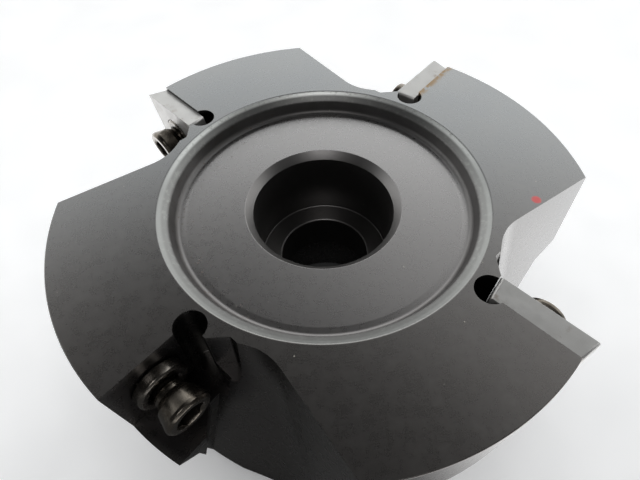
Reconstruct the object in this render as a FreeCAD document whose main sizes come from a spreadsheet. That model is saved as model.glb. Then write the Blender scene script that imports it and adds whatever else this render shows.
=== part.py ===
import FreeCAD, Part
import math
import os

import Sketcher

# Face mill, 3 in diameter, right-hand, for a 1 in shell arbor.
# It stands on its back (arbor) face: origin on the spindle axis at that face, +Z towards the cutting face.
# Every station shares one frame: "along" runs outward, "down" into the body and "out" away from the seat wall.

DIMENSIONS = {
    # body of revolution
    "body_radius": 38.1,
    "body_height": 38.1,
    "land_depth": 13.5,
    "bevel_depth": 16.4,
    "bevel_radius": 35.6,
    "hub_radius": 32.8,
    "hub_edge": 0.5,
    "recess_radius": 23.65,
    "recess_depth": 2.9,
    "recess_lip_radius": 22.2,
    "recess_lip_depth": 1.05,
    "recess_groove_outer": 21.65,
    "recess_groove_inner": 20.9,
    "recess_groove_depth": 3.0,
    "recess_floor_radius": 20.2,
    "counterbore_radius": 10.55,
    "counterbore_chamfer": 1.1,
    "ledge_depth": 15.4,
    "screw_way_radius": 7.15,
    "arbor_radius": 12.7,
    "arbor_depth": 16.0,
    "arbor_chamfer": 0.8,
    # drive keyslot across the back face
    "key_width": 9.6,
    "key_depth": 4.8,
    # gullets
    "lead_wall_offset": 9.85,
    "lead_wall_start": 32.9,
    "lead_step_offset": 6.85,
    "lead_step_end": 29.8,
    "lead_wall_lean": 5.0,
    "root_angle": 26.0,
    "root_distance": 25.15,
    "root_lean": 10.7,
    "trail_wall_angle": 12.6,
    "trail_wall_distance": 19.3,
    "trail_wall_lean": 4.6,
    "corner_flat": 1.5,
    "run_out_depth": 15.5,
    "run_out_root": 11.0,
    "run_out_trail": 5.0,
    "gullet_reach": 46.0,
    "overcut": 1.0,
    # insert seats
    "seat_offset": 1.8,
    "seat_lean": 5.0,
    "seat_inner": 26.05,
    "seat_outer": 45.0,
    "seat_opening": 11.0,
    "seat_depth": 12.5,
    "seat_step_along": 29.6,
    "seat_step_out": 7.9,
    "notch_start": 4.9,
    "notch_end": 9.1,
    "notch_inner": 24.0,
    "notch_outer": 27.5,
    "notch_bevel": 1.0,
    "notch_depth": 8.2,
    "relief_along": 26.2,
    "relief_out": 2.4,
    "relief_radius": 2.06,
    "relief_depth": 13.6,
    "screw_along": 32.45,
    "screw_down": 6.1,
    "thread_radius": 2.03,
    "thread_depth": 9.2,
    # square inserts with clearance all round
    "insert_side": 12.7,
    "insert_thick": 3.18,
    "insert_clearance": 11.0,
    "insert_corner": 0.4,
    "insert_hole_radius": 2.25,
    "insert_sink_radius": 3.58,
    "insert_sink_depth": 1.56,
    # clamp washers
    "washer_radius": 3.5,
    "washer_bore": 2.08,
    "washer_thick": 1.75,
    "washer_edge": 0.2,
    # clamp screws
    "shank_radius": 1.98,
    "shank_length": 10.6,
    "shank_point": 0.5,
    "head_neck_radius": 2.1,
    "head_neck_length": 0.8,
    "head_shoulder_radius": 2.85,
    "head_shoulder": 1.5,
    "head_radius": 3.15,
    "head_cone": 3.2,
    "head_length": 3.95,
    "head_edge": 0.35,
    "hex_across": 3.4,
    "hex_depth": 2.2,
    # gaps left between touching parts
    "seating_gap": 0.02,
    "empty_screw_out": 2.6,
    # unequal pitch: angle of each seat and of the gullet in front of it
    "seat_angle_a": 133.8,
    "seat_angle_b": 49.1,
    "seat_angle_c": 314.1,
    "seat_angle_d": 227.6,
    "gullet_angle_a": 134.6,
    "gullet_angle_b": 48.8,
    "gullet_angle_c": 314.6,
    "gullet_angle_d": 227.5,
}

STATIONS = ("a", "b", "c", "d")
LOADED = ("a", "b", "c")

doc = FreeCAD.newDocument("face_mill")


class Size:
    """A dimension: its value, and the sheet expression it is bound to."""

    def __init__(self, value, text):
        self.value = value
        self.text = text

    def __add__(self, other):
        other = size(other)
        return Size(self.value + other.value, f"({self.text} + {other.text})")

    def __radd__(self, other):
        return size(other) + self

    def __sub__(self, other):
        other = size(other)
        return Size(self.value - other.value, f"({self.text} - {other.text})")

    def __rsub__(self, other):
        return size(other) - self

    def __mul__(self, other):
        other = size(other)
        return Size(self.value * other.value, f"({self.text} * {other.text})")

    def __rmul__(self, other):
        return size(other) * self

    def __truediv__(self, other):
        other = size(other)
        return Size(self.value / other.value, f"({self.text} / {other.text})")

    def __neg__(self):
        return Size(-self.value, f"(0 - {self.text})")


def size(item):
    """A Size from a sheet alias, a plain number or a Size."""
    if isinstance(item, Size):
        return item
    if isinstance(item, str):
        return Size(DIMENSIONS[item], f"Dimensions.{item}")
    return Size(float(item), repr(float(item)))


def sine(angle):
    return Size(math.sin(math.radians(angle.value)), f"sin({angle.text})")


def cosine(angle):
    return Size(math.cos(math.radians(angle.value)), f"cos({angle.text})")


def tangent(angle):
    return Size(math.tan(math.radians(angle.value)), f"tan({angle.text})")


def fill_sheet():
    sheet = doc.addObject("Spreadsheet::Sheet", "Dimensions")
    for row, (alias, value) in enumerate(DIMENSIONS.items(), start=1):
        sheet.set(f"A{row}", alias)
        sheet.set(f"B{row}", str(value))
        sheet.setAlias(f"B{row}", alias)
    doc.recompute()


def bind(item, path, dimension):
    item.setExpression(path, size(dimension).text)


def new_body(label):
    body = doc.addObject("PartDesign::Body", label)
    body.Label = label
    return body


def origin_plane(body, role):
    return [item for item in body.Origin.OriginFeatures if item.Role == role][0]


def z_axis(body):
    return [item for item in body.Origin.OriginFeatures if item.Role == "Z_Axis"][0]


def new_sketch(body, name, support, lift=None, turn=None):
    """A sketch on a plane, lifted along its normal and turned about its X axis when asked."""
    sketch = body.newObject("Sketcher::SketchObject", name)
    sketch.AttachmentSupport = [(support, "")]
    sketch.MapMode = "FlatFace"
    if turn is not None:
        rotation = FreeCAD.Rotation(FreeCAD.Vector(1, 0, 0), turn.value)
        sketch.AttachmentOffset = FreeCAD.Placement(FreeCAD.Vector(0, 0, 0), rotation)
        bind(sketch, ".AttachmentOffset.Rotation.Angle", turn)
    for axis, amount in zip("xyz", lift or ()):
        bind(sketch, f".AttachmentOffset.Base.{axis}", amount)
    return sketch


def pin_point(sketch, geometry, point, x, y):
    """Hold one point of the sketch at x, y from the sketch origin."""
    for kind, amount in (("DistanceX", size(x)), ("DistanceY", size(y))):
        if abs(amount.value) < 1e-9:
            line = -2 if kind == "DistanceX" else -1
            sketch.addConstraint(Sketcher.Constraint("PointOnObject", geometry, point, line))
            continue
        index = sketch.addConstraint(
            Sketcher.Constraint(kind, -1, 1, geometry, point, amount.value)
        )
        bind(sketch, f"Constraints[{index}]", amount)


def add_polygon(sketch, corners):
    """A closed outline of straight lines through the corners."""
    points = [FreeCAD.Vector(size(x).value, size(y).value, 0) for x, y in corners]
    first = sketch.GeometryCount
    for start, end in zip(points, points[1:] + points[:1]):
        sketch.addGeometry(Part.LineSegment(start, end), False)
    count = len(points)
    for number in range(count):
        after = first + (number + 1) % count
        sketch.addConstraint(Sketcher.Constraint("Coincident", first + number, 2, after, 1))
    for number, (x, y) in enumerate(corners):
        pin_point(sketch, first + number, 1, x, y)


def add_circle(sketch, x, y, radius):
    centre = FreeCAD.Vector(size(x).value, size(y).value, 0)
    circle = Part.Circle(centre, FreeCAD.Vector(0, 0, 1), size(radius).value)
    geometry = sketch.addGeometry(circle, False)
    if abs(size(x).value) < 1e-9 and abs(size(y).value) < 1e-9:
        sketch.addConstraint(Sketcher.Constraint("Coincident", geometry, 3, -1, 1))
    else:
        pin_point(sketch, geometry, 3, x, y)
    index = sketch.addConstraint(Sketcher.Constraint("Radius", geometry, size(radius).value))
    bind(sketch, f"Constraints[{index}]", radius)


def pad(body, sketch, name, length):
    feature = body.newObject("PartDesign::Pad", name)
    feature.Profile = sketch
    bind(feature, "Length", length)
    return feature


def pocket(body, sketch, name, length, forward=False):
    """A pocket against the sketch normal, or along it when forward."""
    feature = body.newObject("PartDesign::Pocket", name)
    feature.Profile = sketch
    feature.Reversed = forward
    bind(feature, "Length", length)
    return feature


def revolve(body, sketch, name):
    feature = body.newObject("PartDesign::Revolution", name)
    feature.Profile = sketch
    feature.ReferenceAxis = (z_axis(body), [""])
    feature.Angle = 360.0
    return feature


def body_profile(body):
    """Half section of the turned blank, with the front recess, both bores and the screw ledge."""
    sketch = new_sketch(body, "blank_section", origin_plane(body, "XZ_Plane"))
    height = size("body_height")
    floor = height - "recess_depth"
    ledge = height - "ledge_depth"
    corners = [
        ("arbor_radius", "arbor_chamfer"),
        (size("arbor_radius") + "arbor_chamfer", 0),
        (size("hub_radius") - "hub_edge", 0),
        ("hub_radius", "hub_edge"),
        ("bevel_radius", height - "bevel_depth"),
        ("body_radius", height - "land_depth"),
        ("body_radius", height),
        ("recess_radius", height),
        ("recess_lip_radius", height - "recess_lip_depth"),
        ("recess_groove_outer", height - "recess_groove_depth"),
        ("recess_groove_inner", height - "recess_groove_depth"),
        ("recess_floor_radius", floor),
        (size("counterbore_radius") + "counterbore_chamfer", floor),
        ("counterbore_radius", floor - "counterbore_chamfer"),
        ("counterbore_radius", ledge),
        ("screw_way_radius", ledge),
        ("screw_way_radius", "arbor_depth"),
        ("arbor_radius", "arbor_depth"),
    ]
    add_polygon(sketch, corners)
    revolve(body, sketch, "blank")


def cut_keyslot(body):
    """Drive slot right across the back face."""
    sketch = new_sketch(body, "key_outline", origin_plane(body, "XY_Plane"))
    half = size("key_width") / 2
    reach = size("body_radius")
    add_polygon(sketch, [(-reach, -half), (reach, -half), (reach, half), (-reach, half)])
    pocket(body, sketch, "keyslot", "key_depth", forward=True)


def add_station_plane(body, name, angle):
    """Datum plane in the cutting face, its X axis turned to the station angle."""
    plane = body.newObject("PartDesign::Plane", name)
    plane.AttachmentSupport = [(origin_plane(body, "XY_Plane"), "")]
    plane.MapMode = "FlatFace"
    rotation = FreeCAD.Rotation(FreeCAD.Vector(0, 0, 1), size(angle).value)
    plane.AttachmentOffset = FreeCAD.Placement(FreeCAD.Vector(0, 0, 0), rotation)
    bind(plane, ".AttachmentOffset.Rotation.Angle", angle)
    bind(plane, ".AttachmentOffset.Base.z", "body_height")
    return plane


def gullet_outline(sketch, depth, root_cut, trail_cut, spread):
    """Plan of a gullet at a depth below the face; the corner of its root and trailing walls is cut flat.

    The step in the leading wall stays at one place down to the shelf and moves outward by spread below it.
    """
    lead = size("lead_wall_offset") - depth * tangent(size("lead_wall_lean"))
    step = size("lead_step_offset") - depth * tangent(size("lead_wall_lean"))
    root = size("root_distance") + depth * tangent(size("root_lean"))
    trail = size("trail_wall_distance") + depth * tangent(size("trail_wall_lean"))
    root_angle = size("root_angle")
    trail_angle = size("trail_wall_angle")
    reach = size("gullet_reach")
    between = sine(root_angle + trail_angle)
    inner_x = (trail * sine(root_angle) + root * sine(trail_angle)) / between
    inner_y = (root * cosine(trail_angle) - trail * cosine(root_angle)) / between
    corners = [
        ((root - step * sine(root_angle)) / cosine(root_angle), step),
        (spread + "lead_step_end", step),
        (spread + "lead_wall_start", lead),
        (reach, lead),
        (reach, reach),
        ((trail + reach * sine(trail_angle)) / cosine(trail_angle), reach),
        (inner_x + trail_cut * sine(trail_angle), inner_y + trail_cut * cosine(trail_angle)),
        (inner_x + root_cut * sine(root_angle), inner_y - root_cut * cosine(root_angle)),
    ]
    add_polygon(sketch, corners)


def cut_gullet(body, letter):
    """Chip gullet in front of one seat: leaning walls, the inner corner widening where it runs out."""
    plane = add_station_plane(body, f"gullet_plane_{letter}", f"gullet_angle_{letter}")
    flat = size("corner_flat")
    above = size("overcut")
    middle = size("run_out_depth")
    below = size("body_height") + "overcut"
    sections = []
    foot_spread = below * tangent(size("root_lean"))
    levels = (
        ("top", -above, flat, flat, above * 0),
        ("middle", middle, flat, flat, above * 0),
        ("foot", below, size("run_out_root"), size("run_out_trail"), foot_spread),
    )
    for name, depth, root_cut, trail_cut, spread in levels:
        sketch = new_sketch(body, f"gullet_{name}_{letter}", plane, lift=(0, 0, -depth))
        gullet_outline(sketch, depth, root_cut, trail_cut, spread)
        sections.append(sketch)
    loft = body.newObject("PartDesign::SubtractiveLoft", f"gullet_{letter}")
    loft.Profile = sections[0]
    loft.Sections = sections[1:]
    loft.Ruled = True
    return loft


def cut_seat(body, letter):
    """Insert seat with a notch in the root wall, corner relief hole, threaded hole of the clamp screw."""
    plane = add_station_plane(body, f"seat_plane_{letter}", f"seat_angle_{letter}")
    lean = size("seat_lean")
    above = size("overcut") * 2
    tilt = -lean
    lift = (0, above * sine(lean), above * cosine(lean))
    wall = size("seat_offset") * cosine(lean)

    outline = new_sketch(body, f"seat_outline_{letter}", plane, lift, tilt)
    far = wall + "seat_opening"
    corners = [
        ("seat_inner", wall),
        ("seat_outer", wall),
        ("seat_outer", far),
        ("seat_step_along", far),
        ("seat_step_along", "seat_step_out"),
        ("seat_inner", "seat_step_out"),
    ]
    add_polygon(outline, corners)
    pocket(body, outline, f"seat_{letter}", above + "seat_depth")

    notch = new_sketch(body, f"notch_outline_{letter}", plane, lift, tilt)
    bevel = size("notch_bevel")
    corners = [
        ("notch_outer", "notch_start"),
        ("notch_outer", "notch_end"),
        (size("notch_inner") + bevel, "notch_end"),
        ("notch_inner", size("notch_end") - bevel),
        ("notch_inner", size("notch_start") + "seat_inner" - "notch_inner"),
        ("seat_inner", "notch_start"),
    ]
    add_polygon(notch, corners)
    pocket(body, notch, f"notch_{letter}", above + "notch_depth")

    corner = new_sketch(body, f"relief_outline_{letter}", plane, lift, tilt)
    add_circle(corner, "relief_along", "relief_out", "relief_radius")
    pocket(body, corner, f"relief_{letter}", above + "relief_depth")

    face = (0, wall * cosine(lean), -(wall * sine(lean)))
    hole = new_sketch(body, f"thread_outline_{letter}", plane, face, -(lean + 90))
    add_circle(hole, "screw_along", "screw_down", "thread_radius")
    pocket(body, hole, f"thread_{letter}", "thread_depth")


def make_cutter_body():
    body = new_body("cutter_body")
    body_profile(body)
    cut_keyslot(body)
    for letter in STATIONS:
        cut_gullet(body, letter)
    for letter in STATIONS:
        cut_seat(body, letter)
    return body


def round_corners(body, name, radius):
    """Round the four slanting corner edges of a square block."""
    doc.recompute()
    base = body.Tip
    names = []
    for number, edge in enumerate(base.Shape.Edges, start=1):
        rise = edge.Vertexes[-1].Point.z - edge.Vertexes[0].Point.z
        if abs(rise) > 0.5:
            names.append(f"Edge{number}")
    fillet = body.newObject("PartDesign::Fillet", name)
    fillet.Base = (base, names)
    bind(fillet, "Radius", radius)


def make_insert(label):
    """Square positive insert: back face on z = 0, rake face outward, sunk hole for washer and screw."""
    body = new_body(label)
    flat = origin_plane(body, "XY_Plane")
    square = new_sketch(body, "back_square", flat)
    shrink = size("insert_thick") * tangent(size("insert_clearance"))
    half = size("insert_side") / 2 - shrink
    add_polygon(square, [(-half, -half), (half, -half), (half, half), (-half, half)])
    block = pad(body, square, "block", "insert_thick")
    bind(block, "TaperAngle", "insert_clearance")
    round_corners(body, "corners", "insert_corner")

    through = new_sketch(body, "hole_outline", flat)
    add_circle(through, 0, 0, "insert_hole_radius")
    pocket(body, through, "hole", "insert_thick", forward=True)

    top = new_sketch(body, "sink_outline", flat, lift=(0, 0, size("insert_thick")))
    add_circle(top, 0, 0, "insert_sink_radius")
    pocket(body, top, "sink", "insert_sink_depth")
    return body


def make_washer(label):
    """Thick clamp washer standing on z = 0."""
    body = new_body(label)
    sketch = new_sketch(body, "ring_section", origin_plane(body, "XZ_Plane"))
    edge = size("washer_edge")
    outer = size("washer_radius")
    thick = size("washer_thick")
    corners = [
        ("washer_bore", 0),
        (outer - edge, 0),
        (outer, edge),
        (outer, thick - edge),
        (outer - edge, thick),
        (size("washer_bore") + edge, thick),
        ("washer_bore", thick - edge),
    ]
    add_polygon(sketch, corners)
    revolve(body, sketch, "ring")
    return body


def make_screw(label):
    """Clamp screw: necked, tapering hex-socket head above z = 0, plain shank below."""
    body = new_body(label)
    sketch = new_sketch(body, "screw_section", origin_plane(body, "XZ_Plane"))
    shank = size("shank_radius")
    tip = -size("shank_length")
    head = size("head_radius")
    top = size("head_length")
    edge = size("head_edge")
    corners = [
        (0, tip),
        (shank - "shank_point", tip),
        (shank, tip + "shank_point"),
        (shank, 0),
        ("head_neck_radius", 0),
        ("head_neck_radius", "head_neck_length"),
        ("head_shoulder_radius", "head_shoulder"),
        (head, "head_cone"),
        (head, top - edge),
        (head - edge, top),
        (0, top),
    ]
    add_polygon(sketch, corners)
    revolve(body, sketch, "turned_screw")

    hexagon = new_sketch(body, "hex_outline", origin_plane(body, "XY_Plane"), lift=(0, 0, top))
    corner_radius = size("hex_across") / 2 / cosine(size(30))
    points = []
    for step in range(6):
        turn = size(60 * step)
        points.append((corner_radius * cosine(turn), corner_radius * sine(turn)))
    add_polygon(hexagon, points)
    pocket(body, hexagon, "hex_socket", "hex_depth")
    return body


def station_placement(letter, out):
    """Placement on the screw axis of a station, its Z axis leaving the seat wall, out from that wall."""
    seat = DIMENSIONS[f"seat_angle_{letter}"]
    lean = DIMENSIONS["seat_lean"]
    turn = FreeCAD.Rotation(FreeCAD.Vector(0, 0, 1), seat)
    rotation = turn.multiply(FreeCAD.Rotation(FreeCAD.Vector(1, 0, 0), -(90 + lean)))
    wall = DIMENSIONS["seat_offset"] * math.cos(math.radians(lean))
    local = FreeCAD.Vector(DIMENSIONS["screw_along"], DIMENSIONS["screw_down"], wall + out)
    base = rotation.multVec(local) + FreeCAD.Vector(0, 0, DIMENSIONS["body_height"])
    return FreeCAD.Placement(base, rotation)


def fit_station(letter):
    """The loose parts of one station, clamped on an insert or left in the empty seat."""
    gap = DIMENSIONS["seating_gap"]
    parts = []
    if letter in LOADED:
        insert = make_insert(f"insert_{letter}")
        insert.Placement = station_placement(letter, gap)
        parts.append(insert)
        washer_out = 2 * gap + DIMENSIONS["insert_thick"] - DIMENSIONS["insert_sink_depth"]
        screw_out = washer_out + DIMENSIONS["washer_thick"] + gap
    else:
        washer_out = gap
        screw_out = DIMENSIONS["empty_screw_out"]
    washer = make_washer(f"clamp_washer_{letter}")
    washer.Placement = station_placement(letter, washer_out)
    parts.append(washer)
    screw = make_screw(f"clamp_screw_{letter}")
    screw.Placement = station_placement(letter, screw_out)
    parts.append(screw)
    return parts


def check_document():
    for item in doc.Objects:
        bad = [state for state in item.State if state in ("Invalid", "Error")]
        if bad:
            raise RuntimeError(f"{item.Label}: {bad}")


def write_parts(bodies):
    os.makedirs("parts", exist_ok=True)
    for body in bodies:
        shape = body.Shape
        if shape.isNull() or not shape.isValid() or shape.Volume <= 0:
            raise RuntimeError(f"{body.Label}: bad shape")
        print(f"{body.Label}: {shape.Volume:.1f} mm3, {len(shape.Faces)} faces, {len(shape.Solids)} solids")
        shape.exportStep(os.path.join("parts", f"{body.Label}.step"))


fill_sheet()
bodies = [make_cutter_body()]
for station in STATIONS:
    bodies.extend(fit_station(station))
doc.recompute()
check_document()
write_parts(bodies)
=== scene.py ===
import math

import bmesh
import bpy
from mathutils import Matrix, Vector


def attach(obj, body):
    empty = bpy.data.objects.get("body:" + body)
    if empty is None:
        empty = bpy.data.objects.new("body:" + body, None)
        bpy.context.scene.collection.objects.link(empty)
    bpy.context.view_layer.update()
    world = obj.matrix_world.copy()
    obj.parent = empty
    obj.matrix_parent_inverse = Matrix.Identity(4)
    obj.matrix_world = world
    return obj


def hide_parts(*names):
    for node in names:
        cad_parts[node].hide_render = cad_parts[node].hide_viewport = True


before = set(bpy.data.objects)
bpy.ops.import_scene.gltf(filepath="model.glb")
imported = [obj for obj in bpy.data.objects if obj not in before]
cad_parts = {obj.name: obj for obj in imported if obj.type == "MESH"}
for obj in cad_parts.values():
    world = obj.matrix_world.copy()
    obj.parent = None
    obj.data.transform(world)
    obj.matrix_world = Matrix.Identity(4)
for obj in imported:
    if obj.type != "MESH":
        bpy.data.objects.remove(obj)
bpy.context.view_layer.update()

# Face mill standing on its back face: spindle axis on +Z, cutting face on top.
# Lengths are in millimetres and angles in degrees, unless a comment says otherwise.
MM = 0.001

HEIGHT = 38.1
RADIUS = 38.1
SEAT_ANGLE = {"a": 133.8, "b": 49.1, "c": 314.1, "d": 227.6}
GULLET_ANGLE = {"a": 134.6, "b": 48.8, "c": 314.6, "d": 227.5}
STATIONS = ("a", "b", "c", "d")
LOADED = ("a", "b", "c")
SEAT_LEAN = 5.0
SEAT_WALL = 1.8 * math.cos(math.radians(SEAT_LEAN))
SCREW_ALONG = 32.45
SCREW_DOWN = 6.1
SEATING_GAP = 0.02
INSERT_THICK = 3.18
INSERT_SIDE = 12.7
INSERT_SINK = 1.56
WASHER_THICK = 1.75
EMPTY_SCREW_OUT = 2.6

BORE_RADIUS = 12.7
BORE_DEPTH = 16.0
SCREW_WAY_RADIUS = 7.15
COUNTERBORE_RADIUS = 10.55
COUNTERBORE_DEPTH = 15.4
RECESS_RADIUS = 23.65
RECESS_DEPTH = 2.9
KEYSLOT_HALF_WIDTH = 4.8
KEYSLOT_DEPTH = 4.8
BODY_SEGMENTS = 384

GULLET_LEVELS = 26
GULLET_CURVE_STEPS = 16
GULLET_RUN_OUT = 15.5
LEAD_LEAN = math.radians(5.0)
ROOT_LEAN = math.radians(10.7)
TRAIL_LEAN = math.radians(4.6)
ROOT_TURN = math.radians(26.0)
TRAIL_TURN = math.radians(12.6)

SEAT_INNER = 26.05
SEAT_DEPTH = 12.5
SEAT_STEP_ALONG = 29.6
SEAT_STEP_OUT = 7.9
NOTCH_DEPTH = 8.2
PAST = 45.0  # well outside the body


# ---------------------------------------------------------------- mesh helpers

def new_object(name, mesh):
    item = bpy.data.objects.new(name, mesh)
    bpy.context.scene.collection.objects.link(item)
    return item


def mesh_object(name, points, faces):
    """An object from millimetre points and face index lists."""
    mesh = bpy.data.meshes.new(name)
    mesh.from_pydata([Vector(p) * MM for p in points], [], faces)
    shape = bmesh.new()
    shape.from_mesh(mesh)
    bmesh.ops.recalc_face_normals(shape, faces=shape.faces)
    shape.to_mesh(mesh)
    shape.free()
    return new_object(name, mesh)


def arc_corner(before, corner, after, radius, steps):
    """Points of an arc that rounds one corner of an outline."""
    p, q, r = Vector(before), Vector(corner), Vector(after)
    u, v = (p - q).normalized(), (r - q).normalized()
    half = u.angle(v) / 2
    reach = min(radius / math.tan(half), 0.49 * (p - q).length, 0.49 * (r - q).length)
    radius = reach * math.tan(half)
    centre = q + (u + v).normalized() * (radius / math.sin(half))
    start, end = q + u * reach - centre, q + v * reach - centre
    sweep = start.angle_signed(end)
    points = []
    for step in range(steps + 1):
        turn = -sweep * step / steps
        c, s = math.cos(turn), math.sin(turn)
        points.append((centre.x + start.x * c - start.y * s, centre.y + start.x * s + start.y * c))
    return points


def rounded_outline(corners):
    """Outline from (x, y, radius) corners; a radius of 0 keeps the corner."""
    points = []
    count = len(corners)
    for number, (x, y, radius) in enumerate(corners):
        if radius <= 0:
            points.append((x, y))
            continue
        before = corners[number - 1][:2]
        after = corners[(number + 1) % count][:2]
        steps = 4 if radius < 0.3 else 8 if radius < 1.5 else 20
        points.extend(arc_corner(before, (x, y), after, radius, steps))
    return points


def lathe(name, outline, segments, closed=True):
    """Turn a half-section outline of (r, z) about +Z; an open outline starts and ends on the axis."""
    points, faces = [], []
    rings = []
    for r, z in outline:
        if r < 1e-6:
            rings.append([len(points)])
            points.append((0, 0, z))
            continue
        rings.append(list(range(len(points), len(points) + segments)))
        for step in range(segments):
            angle = 2 * math.pi * step / segments
            points.append((r * math.cos(angle), r * math.sin(angle), z))
    pairs = list(zip(rings, rings[1:]))
    if closed:
        pairs.append((rings[-1], rings[0]))
    for low, high in pairs:
        for step in range(segments):
            after = (step + 1) % segments
            if len(low) == 1:
                faces.append((low[0], high[after], high[step]))
            elif len(high) == 1:
                faces.append((low[step], low[after], high[0]))
            else:
                faces.append((low[step], low[after], high[after], high[step]))
    return mesh_object(name, points, faces)


def loft(name, sections):
    """A closed solid through sections that hold the same number of 3-D points."""
    count = len(sections[0])
    points = [p for section in sections for p in section]
    faces = [tuple(range(count)), tuple(range(len(points) - count, len(points)))]
    for level in range(len(sections) - 1):
        base = level * count
        for step in range(count):
            after = (step + 1) % count
            faces.append((base + step, base + after, base + count + after, base + count + step))
    return mesh_object(name, points, faces)


def prism(name, outline, low, high):
    return loft(name, [[(x, y, low) for x, y in outline], [(x, y, high) for x, y in outline]])


def circle(x, y, radius, segments=64):
    turn = 2 * math.pi / segments
    return [(x + radius * math.cos(k * turn), y + radius * math.sin(k * turn)) for k in range(segments)]


def settle(item):
    """Replace an object's mesh with the one its modifiers make."""
    bpy.context.view_layer.update()
    graph = bpy.context.evaluated_depsgraph_get()
    mesh = bpy.data.meshes.new_from_object(item.evaluated_get(graph))
    item.modifiers.clear()
    item.data = mesh


def cut(item, cutters):
    for cutter in cutters:
        step = item.modifiers.new("cut", "BOOLEAN")
        step.operation = "DIFFERENCE"
        step.solver = "EXACT"
        step.object = cutter
    settle(item)
    for cutter in cutters:
        bpy.data.objects.remove(cutter)


def merge_flat(item, degrees=0.05):
    """Join neighbouring faces that lie in one plane."""
    shape = bmesh.new()
    shape.from_mesh(item.data)
    bmesh.ops.remove_doubles(shape, verts=shape.verts, dist=0.002 * MM)
    bmesh.ops.dissolve_limit(
        shape, angle_limit=math.radians(degrees), verts=shape.verts, edges=shape.edges
    )
    shape.to_mesh(item.data)
    shape.free()


def soften(item, width, segments=2, limit=32.0):
    """Round the sharp edges by width millimetres and shade the rest smoothly."""
    bevel = item.modifiers.new("edges", "BEVEL")
    bevel.width = width * MM
    bevel.segments = segments
    bevel.limit_method = "ANGLE"
    bevel.angle_limit = math.radians(limit)
    bevel.use_clamp_overlap = True
    bevel.miter_outer = "MITER_ARC"
    settle(item)
    shape = bmesh.new()
    shape.from_mesh(item.data)
    for face in shape.faces:
        face.smooth = True
    for edge in shape.edges:
        if len(edge.link_faces) == 2 and edge.calc_face_angle(0) > math.radians(55):
            edge.smooth = False
    shape.to_mesh(item.data)
    shape.free()
    weighted = item.modifiers.new("normals", "WEIGHTED_NORMAL")
    weighted.keep_sharp = True
    weighted.weight = 100
    settle(item)


def station_matrix(letter, out):
    """From a part's own frame to a screw axis: its +Z leaves the seat wall, out from that wall."""
    turn = Matrix.Rotation(math.radians(SEAT_ANGLE[letter]), 4, "Z")
    tilt = Matrix.Rotation(-math.radians(90 + SEAT_LEAN), 4, "X")
    local = Vector((SCREW_ALONG, SCREW_DOWN, SEAT_WALL + out)) * MM
    return Matrix.Translation((0, 0, HEIGHT * MM)) @ turn @ tilt @ Matrix.Translation(local)


def settle_at(item, matrix):
    item.data.transform(matrix)
    return item


# ---------------------------------------------------------------- cutter body

def body_blank():
    top = HEIGHT
    corners = [
        (BORE_RADIUS, 0.8, 0),
        (13.5, 0.0, 0),
        (32.3, 0.0, 0.2),
        (32.8, 0.5, 0.2),
        (35.6, top - 16.4, 0.25),
        (RADIUS, top - 13.5, 0.2),
        (RADIUS, top, 0.14),
        (RECESS_RADIUS, top, 0.45),
        (22.2, top - 1.05, 0.7),
        (21.6, top - 3.0, 1.5),
        (20.2, top - RECESS_DEPTH, 1.2),
        (11.65, top - RECESS_DEPTH, 0.12),
        (COUNTERBORE_RADIUS, top - 4.0, 0.1),
        (COUNTERBORE_RADIUS, top - COUNTERBORE_DEPTH, 0.25),
        (SCREW_WAY_RADIUS, top - COUNTERBORE_DEPTH, 0.35),
        (SCREW_WAY_RADIUS, BORE_DEPTH, 0.2),
        (BORE_RADIUS, BORE_DEPTH, 0.2),
    ]
    return lathe("face_mill_body", rounded_outline(corners), BODY_SEGMENTS)


def gullet_section(depth, root_cut, trail_cut, share):
    """Plan outline of a gullet at a depth below the face, its inner corner swept in a curve."""
    lead_fall = depth * math.tan(LEAD_LEAN)
    lead, step = 9.85 - lead_fall, 6.85 - lead_fall
    lean = math.tan(ROOT_LEAN)
    spread = (HEIGHT + 1.0) * lean * share
    root = 25.15 + depth * lean
    trail = 19.3 + depth * math.tan(TRAIL_LEAN)
    a, b = ROOT_TURN, TRAIL_TURN
    reach = 46.0
    between = math.sin(a + b)
    inner = Vector((
        (trail * math.sin(a) + root * math.sin(b)) / between,
        (root * math.cos(b) - trail * math.cos(a)) / between,
    ))
    on_trail = inner + Vector((math.sin(b), math.cos(b))) * trail_cut
    on_root = inner + Vector((math.sin(a), -math.cos(a))) * root_cut
    outline = [
        ((root - step * math.sin(a)) / math.cos(a), step),
        (29.8 + spread, step),
        (32.9 + spread, lead),
        (reach, lead),
        (reach, reach),
        ((trail + reach * math.sin(b)) / math.cos(b), reach),
    ]
    for k in range(GULLET_CURVE_STEPS + 1):
        t = k / GULLET_CURVE_STEPS
        point = on_trail * (1 - t) ** 2 + inner * (2 * t * (1 - t)) + on_root * t ** 2
        outline.append((point.x, point.y))
    return outline


def gullet_cutter(letter):
    sections = []
    for level in range(GULLET_LEVELS + 1):
        depth = -1.0 + (HEIGHT + 2.0) * level / GULLET_LEVELS
        share = max(0.0, (depth - GULLET_RUN_OUT) / (HEIGHT + 1.0 - GULLET_RUN_OUT))
        root_cut = 2.6 + 9.5 * share
        trail_cut = 2.6 + 3.4 * share
        outline = gullet_section(depth, root_cut, trail_cut, share)
        sections.append([(x, y, -depth) for x, y in outline])
    item = loft(f"gullet_{letter}", sections)
    turn = Matrix.Rotation(math.radians(GULLET_ANGLE[letter]), 4, "Z")
    return settle_at(item, Matrix.Translation((0, 0, HEIGHT * MM)) @ turn)


def seat_matrix(letter):
    """Station frame of a seat: X outward, Y out of the wall, Z up the lean."""
    turn = Matrix.Rotation(math.radians(SEAT_ANGLE[letter]), 4, "Z")
    tilt = Matrix.Rotation(-math.radians(SEAT_LEAN), 4, "X")
    return Matrix.Translation((0, 0, HEIGHT * MM)) @ turn @ tilt


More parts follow.
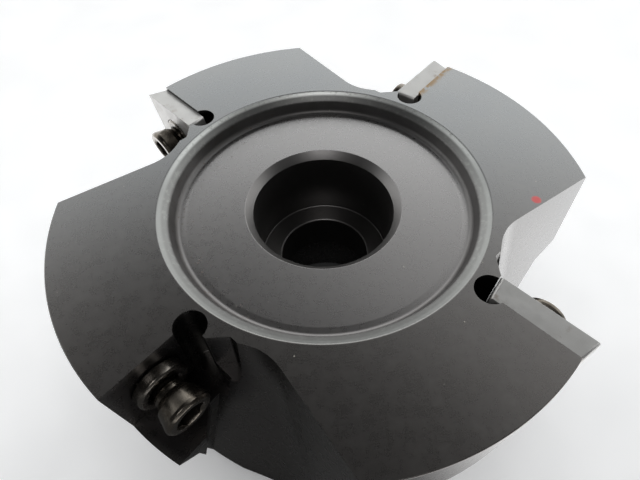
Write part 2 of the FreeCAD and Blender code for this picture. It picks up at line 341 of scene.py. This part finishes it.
def seat_cutters(letter):
    far = SEAT_WALL + 11.0
    outline = [
        (SEAT_INNER, SEAT_WALL),
        (PAST, SEAT_WALL),
        (PAST, far),
        (SEAT_STEP_ALONG, far),
        (SEAT_STEP_ALONG, SEAT_STEP_OUT),
        (SEAT_INNER, SEAT_STEP_OUT),
    ]
    seat = prism(f"seat_{letter}", outline, -SEAT_DEPTH, 4.0)
    notch_outline = rounded_outline([
        (SEAT_INNER, 4.9, 0.3),
        (27.5, 4.9, 0),
        (27.5, 9.1, 0),
        (25.0, 9.1, 0.5),
        (24.0, 8.1, 0.6),
        (24.0, 6.95, 0.5),
    ])
    notch = prism(f"notch_{letter}", notch_outline, -NOTCH_DEPTH, 4.0)
    relief = prism(f"relief_{letter}", circle(26.2, 2.4, 2.06), -13.6, 5.0)
    matrix = seat_matrix(letter)
    settle_at(seat, matrix)
    settle_at(notch, matrix)
    settle_at(relief, matrix)
    hole = prism(f"hole_{letter}", circle(0, 0, 2.03, 48), -9.2, 0.5)
    settle_at(hole, station_matrix(letter, 0.0))
    return [seat, notch, relief, hole]


def build_body():
    item = body_blank()
    side = KEYSLOT_HALF_WIDTH
    key = prism("key", [(-40, -side), (40, -side), (40, side), (-40, side)], -1.0, KEYSLOT_DEPTH)
    cutters = [key]
    for letter in STATIONS:
        cutters.append(gullet_cutter(letter))
    for letter in STATIONS:
        cutters.extend(seat_cutters(letter))
    cut(item, cutters)
    merge_flat(item)
    soften(item, 0.11)
    return item


# ---------------------------------------------------------------- loose parts

def build_insert(letter):
    shrink = INSERT_THICK * math.tan(math.radians(11.0))
    big = INSERT_SIDE / 2
    small = big - shrink
    sections = []
    for half, z, radius in ((small, 0.0, 0.4), (big, INSERT_THICK, 0.4)):
        square = [
            (-half, -half, radius),
            (half, -half, radius),
            (half, half, radius),
            (-half, half, radius),
        ]
        sections.append([(x, y, z) for x, y in rounded_outline(square)])
    item = loft(f"carbide_insert_{letter}", sections)
    hole = lathe("hole", rounded_outline([
        (0, -1.0, 0),
        (2.25, -1.0, 0),
        (2.25, INSERT_THICK - INSERT_SINK - 0.15, 0),
        (2.45, INSERT_THICK - INSERT_SINK, 0.0),
        (3.58, INSERT_THICK - INSERT_SINK, 0),
        (3.58, INSERT_THICK + 1.0, 0),
        (0, INSERT_THICK + 1.0, 0),
    ]), 72, closed=False)
    cut(item, [hole])
    merge_flat(item)
    soften(item, 0.05)
    return settle_at(item, station_matrix(letter, SEATING_GAP))


def build_washer(letter):
    thick = WASHER_THICK
    outline = rounded_outline([
        (2.08, 0.12, 0.08),
        (2.2, 0.0, 0.05),
        (3.3, 0.0, 0.1),
        (3.5, 0.2, 0.15),
        (3.5, thick - 0.28, 0.25),
        (3.22, thick, 0.2),
        (2.45, thick, 0.15),
        (2.08, thick - 0.35, 0.1),
    ])
    item = lathe(f"washer_ring_{letter}", outline, 96)
    soften(item, 0.02, limit=80)
    return settle_at(item, station_matrix(letter, washer_out(letter)))


def washer_out(letter):
    if letter in LOADED:
        return 2 * SEATING_GAP + INSERT_THICK - INSERT_SINK
    return SEATING_GAP


def screw_out(letter):
    if letter in LOADED:
        return washer_out(letter) + WASHER_THICK + SEATING_GAP
    return EMPTY_SCREW_OUT


def thread(name):
    """Helical thread of the shank as one swept ridge with closed ends."""
    pitch, crest, root, turns, steps = 0.7, 1.96, 1.62, 13, 36
    rows = []
    for k in range(turns * steps + 1):
        angle = 2 * math.pi * k / steps
        z = -0.8 - pitch * k / steps
        fade = min(1.0, k / steps, (turns * steps - k) / steps)
        peak = root + (crest - root) * fade
        c, s = math.cos(angle), math.sin(angle)
        section = [
            (root - 0.15, 0.0),
            (root, 0.0),
            (peak, 0.24 * pitch),
            (peak, 0.4 * pitch),
            (root, 0.64 * pitch),
            (root - 0.15, 0.64 * pitch),
        ]
        rows.append([(r * c, r * s, z - dz) for r, dz in section])
    return loft(name, rows)


def build_screw(letter):
    tip, cone, top = -10.6, 3.2, 3.95
    outline = rounded_outline([
        (0, tip, 0),
        (1.3, tip, 0),
        (1.62, tip + 0.4, 0),
        (1.62, -0.7, 0),
        (1.98, -0.35, 0.1),
        (1.98, 0.0, 0),
        (2.1, 0.0, 0.05),
        (2.1, 0.5, 0.3),
        (2.7, 1.3, 0.6),
        (3.15, cone, 0.4),
        (3.15, top - 0.35, 0.2),
        (2.8, top, 0.2),
        (0, top, 0),
    ])
    item = lathe(f"socket_screw_{letter}", outline, 96, closed=False)
    hexagon = []
    for k in range(6):
        angle = math.radians(60 * k)
        radius = 1.7 / math.cos(math.radians(30))
        hexagon.append((radius * math.cos(angle), radius * math.sin(angle)))
    socket = prism("socket", hexagon, top - 2.2, top + 1.0)
    mouth = lathe("mouth", [
        (0, top - 0.42),
        (1.55, top - 0.42),
        (2.07, top + 0.02),
        (2.07, top + 0.5),
        (0, top + 0.5),
    ], 72, closed=False)
    drill = lathe("drill", [
        (0, top - 2.75),
        (1.5, top - 2.15),
        (1.5, top - 2.0),
        (0, top - 2.0),
    ], 48, closed=False)
    cut(item, [socket, mouth, drill])
    soften(item, 0.04, limit=28)
    ridge = thread(f"screw_thread_{letter}")
    for face in ridge.data.polygons:
        face.use_smooth = False
    matrix = station_matrix(letter, screw_out(letter))
    settle_at(item, matrix)
    settle_at(ridge, matrix)
    return item, ridge


# ---------------------------------------------------------------- node helpers

class Nodes:
    """Small wrapper that adds and links shader nodes."""

    def __init__(self, name):
        self.material = bpy.data.materials.new(name)
        self.material.use_nodes = True
        self.tree = self.material.node_tree
        self.tree.nodes.clear()

    def add(self, kind, inputs=None, **settings):
        node = self.tree.nodes.new(kind)
        for key, value in settings.items():
            setattr(node, key, value)
        for key, value in (inputs or {}).items():
            self.set(node.inputs[key], value)
        return node

    def set(self, socket, value):
        if isinstance(value, bpy.types.NodeSocket):
            self.tree.links.new(value, socket)
        elif hasattr(value, "outputs"):
            self.tree.links.new(value.outputs[0], socket)
        else:
            socket.default_value = value

    def math(self, operation, first, second=0.0, clamp=False):
        node = self.add("ShaderNodeMath", {0: first, 1: second}, operation=operation)
        node.use_clamp = clamp
        return node.outputs[0]

    def times(self, first, second):
        return self.math("MULTIPLY", first, second)

    def plus(self, first, second):
        return self.math("ADD", first, second)

    def vector(self, operation, first, second):
        return self.add("ShaderNodeVectorMath", {0: first, 1: second}, operation=operation)

    def band(self, value, rise, fall):
        """Mask that rises over one (from, to) stretch of a value and falls over another."""
        return self.times(self.ramp(value, *rise), self.ramp(value, *fall, 1.0, 0.0))

    def tint(self, colour, mask, share, tone):
        """A colour pulled towards a tone by a share of the mask."""
        return self.mix(self.times(mask, share), colour, tone)

    def bumped(self, height, strength):
        return self.add("ShaderNodeBump", {"Height": height, "Strength": strength, "Distance": 0.00002})

    def surface(self, **inputs):
        """End the material in one principled shader; names stand for its sockets."""
        named = {key.replace("_", " "): value for key, value in inputs.items()}
        shader = self.add("ShaderNodeBsdfPrincipled", named)
        self.add("ShaderNodeOutputMaterial", {"Surface": shader})
        return self.material

    def ramp(self, value, low, high, to_low=0.0, to_high=1.0):
        node = self.add("ShaderNodeMapRange", {
            "Value": value, "From Min": low, "From Max": high, "To Min": to_low, "To Max": to_high,
        })
        node.interpolation_type = "SMOOTHSTEP"
        return node.outputs[0]

    def mix(self, share, first, second):
        node = self.add("ShaderNodeMix", data_type="RGBA")
        self.set(node.inputs[0], share)
        self.set(node.inputs[6], first)
        self.set(node.inputs[7], second)
        return node.outputs[2]

    def noise(self, vector, scale, detail=4.0, roughness=0.55):
        node = self.add("ShaderNodeTexNoise", {
            "Vector": vector, "Scale": scale, "Detail": detail, "Roughness": roughness,
        })
        return node.outputs["Fac"]


def place(nodes):
    """Millimetre position, its radius from the spindle axis, and how far the surface faces up."""
    geometry = nodes.add("ShaderNodeNewGeometry")
    coordinates = nodes.add("ShaderNodeTexCoord")
    scaled = nodes.vector("MULTIPLY", coordinates.outputs["Object"], (1000, 1000, 1000))
    x, y, z = nodes.add("ShaderNodeSeparateXYZ", {0: scaled}).outputs
    radius = nodes.math("SQRT", nodes.plus(nodes.times(x, x), nodes.times(y, y)))
    normal = nodes.add("ShaderNodeSeparateXYZ", {0: geometry.outputs["Normal"]})
    up = normal.outputs[2]
    return {"point": scaled.outputs[0], "x": x, "y": y, "z": z, "radius": radius, "up": up}


def worn_edges(nodes, radius_mm, low=0.02, high=0.25):
    """Mask that is 1 on edges, from how far a rounded normal leaves the true one."""
    geometry = nodes.add("ShaderNodeNewGeometry")
    bevel = nodes.add("ShaderNodeBevel", {"Radius": radius_mm * MM}, samples=4)
    dot = nodes.vector("DOT_PRODUCT", geometry.outputs["Normal"], bevel)
    return nodes.ramp(nodes.math("SUBTRACT", 1.0, dot.outputs["Value"]), low, high)


def clamp_reach(nodes, at):
    """Mask that is 1 close to the clamp screws and fades out, used for painted shade round them."""
    nearest = 1000.0
    for letter in STATIONS:
        centre = station_matrix(letter, 2.5).translation / MM
        away = nodes.vector("DISTANCE", at["point"], tuple(centre))
        nearest = nodes.math("MINIMUM", away.outputs["Value"], nearest)
    return nodes.ramp(nearest, 8.5, 11.5, 1.0, 0.0)


def recess_zones(nodes, at):
    """Masks by radius: the lip round the recess, its groove, its rim, its foot and the bore; groove and
    bore carry painted shade, the rim a painted highlight.
    """
    radius = at["radius"]
    return {
        "lip": nodes.band(radius, (21.9, 22.6), (23.55, 23.75)),
        "groove": nodes.band(radius, (20.9, 21.6), (22.1, 22.6)),
        "rim": nodes.band(radius, (22.9, 23.3), (23.6, 23.72)),
        "foot": nodes.band(radius, (19.4, 19.8), (22.6, 22.9)),
        "bore": nodes.ramp(radius, 11.55, 11.75, 1.0, 0.0),
    }


def pocket_shade(nodes, at):
    """Mask of the seats and pockets round the clamp screws, below the face and inside the land, where
    shade is painted.
    """
    sunk = nodes.times(clamp_reach(nodes, at), nodes.ramp(at["z"], HEIGHT - 1.2, HEIGHT - 0.25, 1.0, 0.0))
    return nodes.times(sunk, nodes.ramp(at["radius"], 36.9, 37.9, 1.0, 0.0))


def rust_specks(nodes, at):
    """Mask of small rust spots, most of them on the left of the recess."""
    spots = nodes.ramp(nodes.noise(at["point"], 2.2, 5.0, 0.75), 0.6, 0.68)
    patch = nodes.ramp(nodes.noise(at["point"], 0.12, 2.0), 0.6, 0.72, 0.0, 0.12)
    left = nodes.ramp(at["x"], -12.0, -6.0, 1.0, 0.0)
    damp = nodes.times(left, nodes.ramp(at["radius"], 22.0, 22.8, 1.0, 0.0))
    damp = nodes.times(damp, nodes.ramp(at["radius"], 16.5, 19.5))
    return nodes.times(spots, nodes.math("MAXIMUM", patch, damp))


def dust_specks(nodes, at):
    """Mask of sparse round specks of dust."""
    dust = nodes.add("ShaderNodeTexVoronoi", {"Vector": at["point"], "Scale": 0.55, "Randomness": 1.0})
    speck = nodes.ramp(dust.outputs["Distance"], 0.035, 0.055, 1.0, 0.0)
    tone = nodes.add("ShaderNodeSeparateColor", {0: dust.outputs["Color"]}).outputs[0]
    return nodes.times(speck, nodes.ramp(tone, 0.72, 0.74))


def paint_dab(nodes, at, medium):
    """Mask of a dab of paint on one tooth."""
    away = nodes.vector("DISTANCE", at["point"], (29.7, -3.0, HEIGHT)).outputs["Value"]
    return nodes.ramp(nodes.plus(away, nodes.times(medium, 0.5)), 0.75, 1.05, 0.8, 0.0)


def tea_stain(nodes, at, medium):
    """Mask of a brown stain along the edge of one insert."""
    turn = math.radians(SEAT_ANGLE["b"])
    across = nodes.vector("DOT_PRODUCT", at["point"], (-math.sin(turn), math.cos(turn), 0.0))
    tea = nodes.band(across.outputs["Value"], (0.5, 1.5), (2.2, 2.6))
    tea = nodes.times(tea, nodes.ramp(at["radius"], 25.5, 27.0))
    tea = nodes.times(tea, nodes.ramp(at["x"], 14.0, 16.0))
    tea = nodes.times(tea, nodes.ramp(at["y"], 15.0, 18.0))
    return nodes.times(tea, nodes.ramp(medium, 0.4, 0.55))


def black_steel():
    """Blackened tool steel with turning marks, rubbed edges, light rust specks and dried coolant, with
    painted shade in the groove, bore, pockets, hollows and on the near side, painted sheen across the
    recess and a painted highlight on the rim.
    """
    nodes = Nodes("black_oxide_steel")
    at = place(nodes)
    zone = recess_zones(nodes, at)
    lip, groove, bore = zone["lip"], zone["groove"], zone["bore"]
    sunk = pocket_shade(nodes, at)
    broad = nodes.noise(at["point"], 0.09, 3.0)
    medium = nodes.noise(at["point"], 0.8, 6.0, 0.65)

    colour = nodes.mix(broad, (0.178, 0.184, 0.19, 1), (0.2, 0.2, 0.198, 1))
    # Painted shade: the near side is tinted darker and browner than the far side.
    near = nodes.ramp(at["y"], -30.0, 18.0, 1.0, 0.0)
    colour = nodes.tint(colour, near, 0.75, (0.165, 0.15, 0.142, 1))
    colour = nodes.mix(nodes.ramp(medium, 0.4, 0.8, 0.0, 0.18), colour, (0.25, 0.245, 0.235, 1))
    # Painted sheen: inside the lip the recess is made lighter, standing in for the highlights of its
    # turning marks.
    recess_sheen = nodes.ramp(at["radius"], 22.9, 23.4, 1.0, 0.0)
    colour = nodes.tint(colour, recess_sheen, 0.65, (0.325, 0.312, 0.31, 1))
    colour = nodes.tint(colour, lip, 0.75, (0.135, 0.138, 0.132, 1))
    # Painted shade: the groove at the foot of the recess wall is darkened, by a share that varies with
    # noise.
    groove_shade = nodes.ramp(broad, 0.3, 0.7, 0.7, 0.92)
    colour = nodes.tint(colour, groove, groove_shade, (0.045, 0.042, 0.04, 1))
    # Painted highlight: the outer rim of the recess is lightened almost to white, most on the far side.
    glint = nodes.ramp(at["y"], 0.0, 18.0, 0.1, 0.9)
    colour = nodes.tint(colour, zone["rim"], glint, (0.85, 0.86, 0.84, 1))
    rubbed = nodes.ramp(nodes.noise(at["point"], 1.3, 5.0, 0.7), 0.5, 0.7, 0.0, 0.5)
    colour = nodes.tint(colour, lip, rubbed, (0.26, 0.265, 0.25, 1))
    # Painted shade in the counterbore and screw way, a touch darker deeper down.
    colour = nodes.tint(colour, bore, 0.55, (0.06, 0.056, 0.052, 1))
    deep = nodes.ramp(at["z"], HEIGHT - 6.0, HEIGHT - 3.9, 0.1, 0.0)
    colour = nodes.tint(colour, bore, deep, (0.05, 0.048, 0.047, 1))
    # Painted shade in the seats and pockets round the clamp screws.
    colour = nodes.tint(colour, sunk, 0.65, (0.035, 0.032, 0.034, 1))
    # Painted shade: ambient occlusion darkens the colour in hollows and corners, less so in the bore.
    grime_and_shade = nodes.add("ShaderNodeAmbientOcclusion", {"Distance": 9.0 * MM}, samples=4)
    hollow_shade = nodes.ramp(grime_and_shade.outputs["AO"], 0.15, 0.85, 0.92, 0.0)
    colour = nodes.tint(colour, hollow_shade, nodes.ramp(bore, 0.0, 1.0, 1.0, 0.45), (0.028, 0.026, 0.024, 1))
    unworn = nodes.math("MAXIMUM", zone["foot"], sunk)
    edges = nodes.times(worn_edges(nodes, 0.14), nodes.math("SUBTRACT", 1.0, unworn))
    colour = nodes.tint(colour, edges, nodes.ramp(medium, 0.35, 0.6, 0.15, 0.55), (0.42, 0.41, 0.39, 1))
    rust = rust_specks(nodes, at)
    colour = nodes.tint(colour, rust, 0.75, (0.11, 0.055, 0.03, 1))
    speck = dust_specks(nodes, at)
    colour = nodes.tint(colour, speck, 0.7, (0.55, 0.52, 0.46, 1))
    paint = paint_dab(nodes, at, medium)
    colour = nodes.mix(paint, colour, (0.55, 0.1, 0.1, 1))
    tea = tea_stain(nodes, at, medium)
    colour = nodes.tint(colour, tea, 0.7, (0.3, 0.19, 0.08, 1))

    roughness = nodes.ramp(medium, 0.3, 0.7, 0.265, 0.295)
    duller = (
        (nodes.math("MAXIMUM", paint, tea), 0.25),
        (lip, 0.1),
        (bore, 0.12),
        (groove, 0.18),
        (rust, 0.3),
        (speck, 0.4),
    )
    for mask, amount in duller:
        roughness = nodes.plus(roughness, nodes.times(mask, amount))
    roughness = nodes.math("SUBTRACT", roughness, nodes.times(edges, 0.1), clamp=True)

    flat = nodes.ramp(at["up"], 0.86, 0.97)
    turned = nodes.add("ShaderNodeCombineXYZ", {0: at["radius"], 1: nodes.times(at["z"], 0.5)})
    rings = nodes.noise(turned, 5.0, 4.0, 0.75)
    height = nodes.times(nodes.times(rings, flat), 0.9)
    fine = nodes.noise(at["point"], 9.0, 3.0, 0.7)
    for mask, amount in ((fine, 0.5), (rust, 0.6), (speck, 1.2)):
        height = nodes.plus(height, nodes.times(mask, amount))
    return nodes.surface(
        Base_Color=colour, Metallic=0.97, Roughness=roughness, Normal=nodes.bumped(height, 0.3)
    )


def carbide():
    """Ground carbide: warm light grey, fine grain, faint grinding lines and brown residue."""
    nodes = Nodes("ground_carbide")
    at = place(nodes)
    grain = nodes.noise(at["point"], 14.0, 4.0, 0.7)
    cloud = nodes.noise(at["point"], 0.7, 4.0)
    stretched = nodes.vector("MULTIPLY", at["point"], (0.6, 0.6, 14.0))
    lines = nodes.noise(stretched.outputs[0], 1.0, 3.0)
    colour = nodes.mix(cloud, (0.43, 0.422, 0.412, 1), (0.51, 0.503, 0.495, 1))
    colour = nodes.mix(nodes.ramp(grain, 0.3, 0.7, 0.0, 0.35), colour, (0.36, 0.35, 0.33, 1))
    stain = nodes.ramp(nodes.noise(at["point"], 0.5, 5.0, 0.7), 0.56, 0.72)
    colour = nodes.tint(colour, stain, 0.55, (0.2, 0.135, 0.085, 1))
    colour = nodes.tint(colour, worn_edges(nodes, 0.08), 0.6, (0.7, 0.69, 0.66, 1))
    roughness = nodes.ramp(cloud, 0.3, 0.7, 0.38, 0.5)
    height = nodes.plus(nodes.times(grain, 0.5), nodes.times(lines, 0.5))
    return nodes.surface(
        Base_Color=colour, Metallic=0.6, Roughness=roughness, Normal=nodes.bumped(height, 0.25)
    )


def oily_steel(name, low, high, rough, bright):
    """Small hardware: dark oiled steel, rubbed bright on its edges, with brown grime and painted shade in
    its hollows.
    """
    nodes = Nodes(name)
    at = place(nodes)
    cloud = nodes.noise(at["point"], 0.9, 4.0, 0.6)
    grain = nodes.noise(at["point"], 12.0, 4.0, 0.7)
    colour = nodes.mix(cloud, low, high)
    grime_and_shade = nodes.ramp(nodes.noise(at["point"], 0.7, 4.0, 0.6), 0.5, 0.75)
    colour = nodes.tint(colour, grime_and_shade, 0.5, (0.06, 0.042, 0.03, 1))
    # Painted shade: ambient occlusion darkens the colour in the hollows and between the parts.
    shaded = nodes.add("ShaderNodeAmbientOcclusion", {"Distance": 2.5 * MM}, samples=4)
    hollow = nodes.ramp(shaded.outputs["AO"], 0.2, 0.8, 0.85, 0.0)
    colour = nodes.mix(hollow, colour, (0.02, 0.018, 0.016, 1))
    colour = nodes.tint(colour, worn_edges(nodes, 0.12), bright, (0.62, 0.59, 0.54, 1))
    roughness = nodes.ramp(cloud, 0.3, 0.7, rough, rough + 0.12)
    roughness = nodes.plus(roughness, nodes.times(grime_and_shade, 0.12))
    return nodes.surface(
        Base_Color=colour, Metallic=0.95, Roughness=roughness, Normal=nodes.bumped(grain, 0.25)
    )


def finish_with(item, material, slot_name, body, *nodes):
    item.data.materials.clear()
    item.data.materials.append(material)
    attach(item, body)
    if nodes:
        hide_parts(*nodes)


# ---------------------------------------------------------------- assembly

steel = black_steel()
grey_carbide = carbide()
washer_steel = oily_steel(
    "oily_washer_steel", (0.1, 0.092, 0.085, 1), (0.22, 0.2, 0.175, 1), rough=0.18, bright=0.45
)
screw_steel = oily_steel(
    "oily_screw_steel", (0.085, 0.075, 0.065, 1), (0.19, 0.168, 0.14, 1), rough=0.16, bright=0.45
)

finish_with(build_body(), steel, "cutter_body", "cutter", "cutter_body")
for station in STATIONS:
    if station in LOADED:
        insert = build_insert(station)
        finish_with(insert, grey_carbide, "insert", f"insert_body_{station}", f"insert_{station}")
    washer = build_washer(station)
    finish_with(washer, washer_steel, "clamp_washer", f"washer_{station}", f"clamp_washer_{station}")
    screw, ridge = build_screw(station)
    finish_with(screw, screw_steel, "clamp_screw", f"screw_{station}", f"clamp_screw_{station}")
    finish_with(ridge, screw_steel, "clamp_screw", f"screw_{station}")


# ---------------------------------------------------------------- stage, light and camera

def pale_floor():
    """Pale paper that glows: the camera sees it evenly lit but for painted shadow round the cutter and
    under its bore and a painted brightening towards the back; reflections see it dark in front, bright
    behind.
    """
    nodes = Nodes("pale_paper")
    spot = nodes.add("ShaderNodeTexCoord").outputs["Object"]
    at = place(nodes)
    grain = nodes.noise(spot, 60.0, 3.0)
    smudge = nodes.ramp(nodes.noise(spot, 45.0, 4.0), 0.68, 0.8)
    colour = nodes.mix(nodes.times(smudge, 0.25), (0.86, 0.86, 0.87, 1), (0.6, 0.6, 0.62, 1))
    # Painted shadow: the paper's glow fades where the cutter hides the room (ambient occlusion).
    open_sky = nodes.add("ShaderNodeAmbientOcclusion", {"Distance": 0.07}, samples=6)
    lit = nodes.ramp(open_sky.outputs["AO"], 0.3, 0.95)
    glow = nodes.times(nodes.ramp(grain, 0.3, 0.7, 0.3, 0.34), lit)
    # Painted shadow: under the cutter and its bore the paper is darkened and its glow fades.
    bored = nodes.ramp(at["radius"], 12.0, 34.0, 0.0, 1.0)
    colour = nodes.mix(bored, (0.12, 0.12, 0.12, 1), colour)
    glow = nodes.times(glow, bored)
    rightward = nodes.ramp(at["x"], 5.0, 50.0)
    backward = nodes.ramp(at["y"], -15.0, 35.0)
    beyond = nodes.math("MAXIMUM", rightward, backward)
    mirrored = nodes.times(glow, nodes.ramp(beyond, 0.0, 1.0, 0.0, 4.6))
    seen = nodes.add("ShaderNodeLightPath").outputs["Is Camera Ray"]
    hidden = nodes.math("SUBTRACT", 1.0, seen)
    # Painted light: the glow the camera sees grows stronger towards the back.
    glow = nodes.times(glow, nodes.ramp(at["y"], -60.0, 0.0, 1.0, 1.25))
    glow = nodes.plus(nodes.times(seen, glow), nodes.times(hidden, mirrored))
    shade = nodes.times(hidden, nodes.math("SUBTRACT", 1.0, beyond))
    colour = nodes.tint(colour, shade, 0.85, (0.04, 0.04, 0.04, 1))
    white = (1.0, 1.0, 1.0, 1)
    return nodes.surface(
        Base_Color=colour, Roughness=0.8, Emission_Color=white, Emission_Strength=glow
    )


FLOOR_REACH = 2500
FLOOR_DROP = 0.05
floor = mesh_object("floor", [
    (-FLOOR_REACH, -FLOOR_REACH, -FLOOR_DROP),
    (FLOOR_REACH, -FLOOR_REACH, -FLOOR_DROP),
    (FLOOR_REACH, FLOOR_REACH, -FLOOR_DROP),
    (-FLOOR_REACH, FLOOR_REACH, -FLOOR_DROP),
], [(0, 1, 2, 3)])
floor.data.materials.append(pale_floor())


# Brightness of the room by the height of a direction (0 level, 1 straight up).
RIGHT_LIGHT = (
    (0.0, 1.6), (0.35, 2.2), (0.5, 2.4), (0.58, 2.2), (0.66, 1.5),
    (0.76, 0.82), (0.86, 0.66), (0.93, 0.08), (1.0, 0.0),
)
LEFT_LIGHT = (
    (0.0, 1.6), (0.35, 2.2), (0.5, 2.25), (0.58, 1.8), (0.65, 1.2),
    (0.71, 0.5), (0.76, 0.1), (0.86, 0.03), (1.0, 0.0),
)
FRONT_LIGHT = ((0.0, 0.35), (0.2, 0.15), (0.42, 0.05), (1.0, 0.0))
PEAK = 2.7


def set_world():
    """White room: bright low down all round, dim straight above and high on the camera's side."""
    world = bpy.data.worlds.new("white_room")
    bpy.context.scene.world = world
    world.use_nodes = True
    tree = world.node_tree
    tree.nodes.clear()

    def add(kind, **settings):
        node = tree.nodes.new(kind)
        for key, value in settings.items():
            setattr(node, key, value)
        return node

    def graded(stops):
        node = add("ShaderNodeValToRGB")
        ramp = node.color_ramp
        ramp.interpolation = "EASE"
        while len(ramp.elements) < len(stops):
            ramp.elements.new(0.5)
        for element, (position, level) in zip(ramp.elements, stops):
            element.position = position
            element.color = (level / PEAK, level / PEAK, level / PEAK, 1)
        tree.links.new(split.outputs[2], node.inputs[0])
        return node

    def between(socket, low, high, to_low, to_high):
        node = add("ShaderNodeMapRange", interpolation_type="SMOOTHSTEP")
        stretch = {"From Min": low, "From Max": high, "To Min": to_low, "To Max": to_high}
        for key, value in stretch.items():
            node.inputs[key].default_value = value
        tree.links.new(socket, node.inputs["Value"])
        return node

    coordinates = add("ShaderNodeTexCoord")
    split = add("ShaderNodeSeparateXYZ")
    tree.links.new(coordinates.outputs["Generated"], split.inputs[0])
    share = between(split.outputs[1], -0.12, 0.2, 0.0, 1.0)
    side = between(split.outputs[0], -0.35, 0.3, 0.0, 1.0)
    back = add("ShaderNodeMix", data_type="RGBA")
    tree.links.new(side.outputs[0], back.inputs[0])
    tree.links.new(graded(LEFT_LIGHT).outputs[0], back.inputs[6])
    tree.links.new(graded(RIGHT_LIGHT).outputs[0], back.inputs[7])
    blend = add("ShaderNodeMix", data_type="RGBA")
    tree.links.new(share.outputs[0], blend.inputs[0])
    tree.links.new(graded(FRONT_LIGHT).outputs[0], blend.inputs[6])
    tree.links.new(back.outputs[2], blend.inputs[7])
    tint = add("ShaderNodeMix", data_type="RGBA", blend_type="MULTIPLY")
    tint.inputs[0].default_value = 1.0
    tint.inputs[7].default_value = (0.98, 1.0, 1.0, 1)
    tree.links.new(blend.outputs[2], tint.inputs[6])
    background = add("ShaderNodeBackground")
    tree.links.new(tint.outputs[2], background.inputs["Color"])
    background.inputs["Strength"].default_value = PEAK
    output = add("ShaderNodeOutputWorld")
    tree.links.new(background.outputs[0], output.inputs["Surface"])


def area_light(name, location, target, size, power):
    data = bpy.data.lights.new(name, "AREA")
    data.shape = "DISK"
    data.size = size
    data.energy = power
    light = bpy.data.objects.new(name, data)
    light.location = location
    light.rotation_euler = (Vector(target) - Vector(location)).to_track_quat("-Z", "Y").to_euler()
    bpy.context.scene.collection.objects.link(light)


set_world()
area_light("ceiling_lamp", (0.0, -0.42, 0.72), (0, 0, 0.03), 0.34, 1.3)


CAMERA_PLACE = (0.0, -0.04480, 0.08576)  # metres
CAMERA_LENS = 25.425
CAMERA_ROLL = -2.29


def set_camera():
    data = bpy.data.cameras.new("photo_camera")
    data.sensor_width = 36.0
    data.lens = CAMERA_LENS
    data.clip_start = 0.001
    data.clip_end = 20.0
    camera = bpy.data.objects.new("photo_camera", data)
    forward = Vector((-0.00923, 0.60073, -0.79940)).normalized()
    right = Vector((0.99988, 0.01536, 0.0)).normalized()
    up = right.cross(forward)
    roll = math.radians(CAMERA_ROLL)
    right_rolled = right * math.cos(roll) + up * math.sin(roll)
    up_rolled = up * math.cos(roll) - right * math.sin(roll)
    matrix = Matrix((right_rolled, up_rolled, -forward)).transposed().to_4x4()
    matrix.translation = CAMERA_PLACE
    camera.matrix_world = matrix
    bpy.context.scene.collection.objects.link(camera)
    bpy.context.scene.camera = camera


set_camera()
bpy.context.scene.view_settings.view_transform = "Standard"
bpy.context.scene.view_settings.look = "None"
